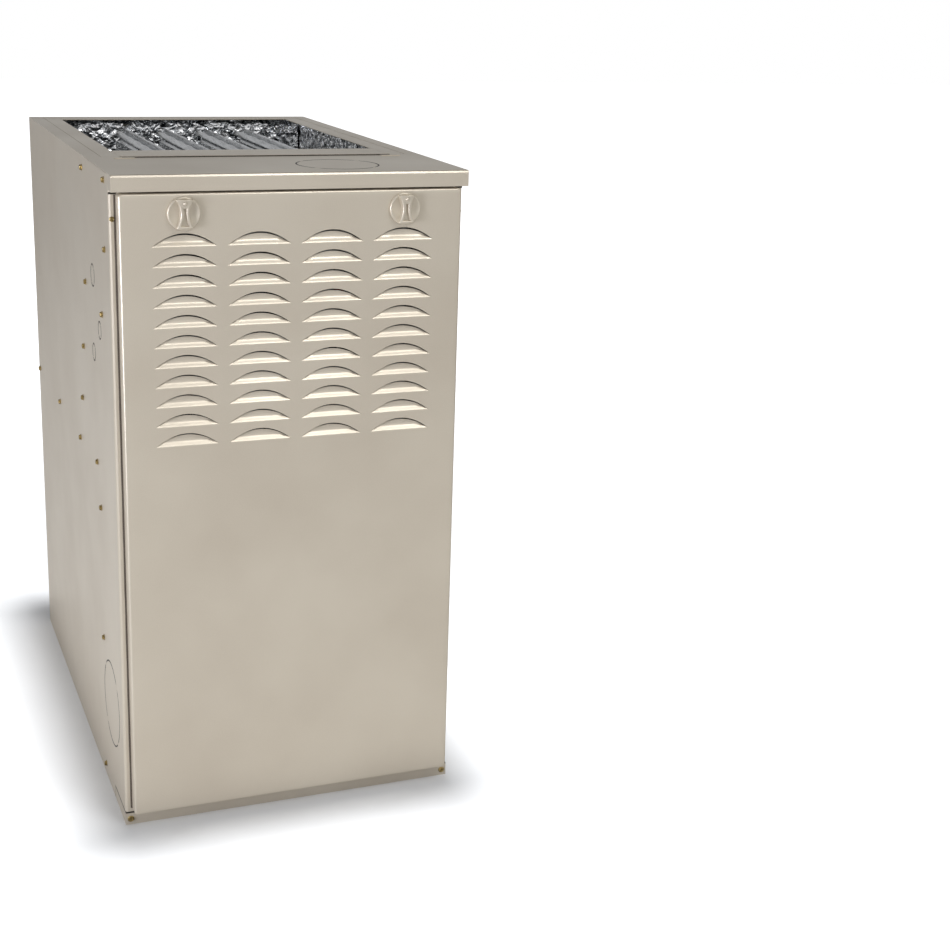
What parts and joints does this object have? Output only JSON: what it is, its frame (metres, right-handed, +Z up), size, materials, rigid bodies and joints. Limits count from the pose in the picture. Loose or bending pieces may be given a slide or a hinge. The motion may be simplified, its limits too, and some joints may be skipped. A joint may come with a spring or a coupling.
{
  "type": "forced air gas furnace",
  "caption": "Upflow gas furnace in a folded steel cabinet: louvred lift-off door with twist latches, top supply opening, clamshell heat exchanger, burners, inducer and blower.",
  "frame": {"origin": "on the floor under the middle of the whole furnace, the door's knobs included", "axes": "+Z up, +Y from the door to the back, +X to the right as seen from the front"},
  "size_m": [0.445, 0.7666, 0.8475],
  "materials": {
    "painted_cabinet": "satin",
    "galvanised_steel": "satin",
    "yellow_zinc": "satin",
    "foil_facing": "polished",
    "aluminised_steel": "satin",
    "black_paint": "satin",
    "cast_zinc": "rough cast",
    "ceramic": "matte",
    "red_plastic": "gloss",
    "circuit_board": "matte",
    "card": "matte"
  },
  "bodies": {
    "cabinet": {"casing_wrap": "painted_cabinet", "top_cover": "painted_cabinet", "base_rail": "painted_cabinet", "duct_strip": "painted_cabinet", "blower_shelf": "galvanised_steel", "cell_panel": "galvanised_steel", "inducer_housing": "galvanised_steel", "vent_elbow": "galvanised_steel", "burner_rack": "galvanised_steel", "pressure_switch": "galvanised_steel", "access_panel": "galvanised_steel", "blower_housing": "galvanised_steel", "blower_side_left": "galvanised_steel", "blower_side_right": "galvanised_steel", "motor_mount": "galvanised_steel", "control_tray": "galvanised_steel", "junction_box": "galvanised_steel", "junction_lid": "galvanised_steel", "filter_track_left": "galvanised_steel", "filter_track_right": "galvanised_steel", "base_screw_left": "yellow_zinc", "base_screw_right": "yellow_zinc", "insulation_left": "foil_facing", "insulation_right": "foil_facing", "insulation_back": "foil_facing", "heat_exchanger_cell_1": "aluminised_steel", "heat_exchanger_cell_2": "aluminised_steel", "heat_exchanger_cell_3": "aluminised_steel", "heat_exchanger_cell_4": "aluminised_steel", "collector_box": "aluminised_steel", "burner_1": "aluminised_steel", "burner_2": "aluminised_steel", "burner_3": "aluminised_steel", "burner_4": "aluminised_steel", "capacitor": "aluminised_steel", "inducer_motor": "black_paint", "gas_manifold": "black_paint", "rollout_switch_left": "black_paint", "rollout_switch_right": "black_paint", "limit_switch": "black_paint", "blower_motor": "black_paint", "transformer": "black_paint", "door_switch_body": "black_paint", "gas_valve": "cast_zinc", "igniter": "ceramic", "flame_sensor": "ceramic", "pressure_hose": "red_plastic", "control_board": "circuit_board", "filter": "card"},
    "door": {"louvred_door": "painted_cabinet"},
    "latch_left": {"latch_knob_left": "painted_cabinet", "latch_tongue_left": "galvanised_steel"},
    "latch_right": {"latch_knob_right": "painted_cabinet", "latch_tongue_right": "galvanised_steel"},
    "blower_rotor": {"blower_wheel": "galvanised_steel"},
    "inducer_rotor": {"inducer_wheel": "aluminised_steel"},
    "valve_lever": {"gas_valve_switch": "black_paint"},
    "reset_left": {"rollout_reset_left": "red_plastic"},
    "reset_right": {"rollout_reset_right": "red_plastic"},
    "interlock_button": {"door_switch_button": "ceramic"}
  },
  "joints": [
    {"name": "door_pull", "type": "slide", "parent": "cabinet", "child": "door", "axis": [0, -1, 0], "range_m": [0, 0.35]},
    {"name": "latch_left_turn", "type": "hinge", "parent": "door", "child": "latch_left", "pos_m": [-0.138, -0.361, 0.8], "axis": [0, 1, 0], "range_deg": [0, 90]},
    {"name": "latch_right_turn", "type": "hinge", "parent": "door", "child": "latch_right", "pos_m": [0.138, -0.361, 0.8], "axis": [0, 1, 0], "range_deg": [0, 90]},
    {"name": "blower_spin", "type": "hinge", "parent": "cabinet", "child": "blower_rotor", "pos_m": [0, 0.049, 0.238], "axis": [1, 0, 0], "continuous": true},
    {"name": "inducer_spin", "type": "hinge", "parent": "cabinet", "child": "inducer_rotor", "pos_m": [-0.008, -0.231, 0.69], "axis": [0, 1, 0], "continuous": true},
    {"name": "valve_lever_slide", "type": "slide", "parent": "cabinet", "child": "valve_lever", "axis": [1, 0, 0], "range_m": [0, 0.006]},
    {"name": "reset_left_press", "type": "slide", "parent": "cabinet", "child": "reset_left", "axis": [0, 1, 0], "range_m": [0, 0.002], "stiffness_N_per_m": 300},
    {"name": "reset_right_press", "type": "slide", "parent": "cabinet", "child": "reset_right", "axis": [0, 1, 0], "range_m": [0, 0.002], "stiffness_N_per_m": 300},
    {"name": "interlock_press", "type": "slide", "parent": "cabinet", "child": "interlock_button", "axis": [0, 1, 0], "range_m": [0, 0.004], "stiffness_N_per_m": 300}
  ]
}
